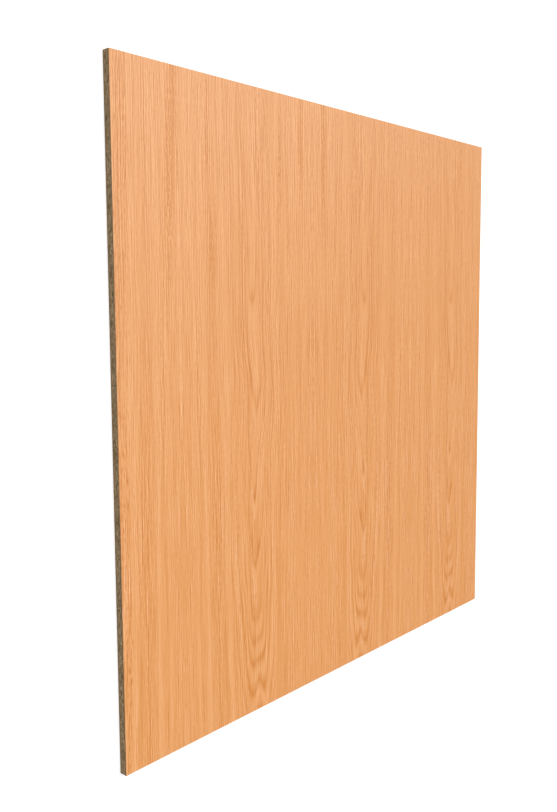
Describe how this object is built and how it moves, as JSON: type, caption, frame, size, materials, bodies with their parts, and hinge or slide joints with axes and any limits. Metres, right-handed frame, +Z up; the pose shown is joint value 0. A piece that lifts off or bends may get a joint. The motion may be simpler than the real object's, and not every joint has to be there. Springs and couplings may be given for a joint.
{
  "type": "melamine board",
  "caption": "Square chipboard panel with wood-grain melamine paper pressed on both faces and bare sawn edges that show the chip core.",
  "frame": {"origin": "middle of the board's underside, so that the board lies on Z = 0", "axes": "+X across the grain, +Y along the grain, +Z up, out of the show side"},
  "size_m": [1.22, 1.22, 0.016],
  "materials": {
    "chipboard": "raw sawn chipboard, dull and porous",
    "oak_melamine_face": "satin melamine resin over a printed light oak decor with cathedral figure, grain along Y",
    "oak_melamine_back": "satin melamine resin over the same printed light oak decor, grain along Y"
  },
  "bodies": {
    "root": {"chipboard_core": "chipboard", "melamine_face": "oak_melamine_face", "melamine_back": "oak_melamine_back"}
  },
  "joints": []
}
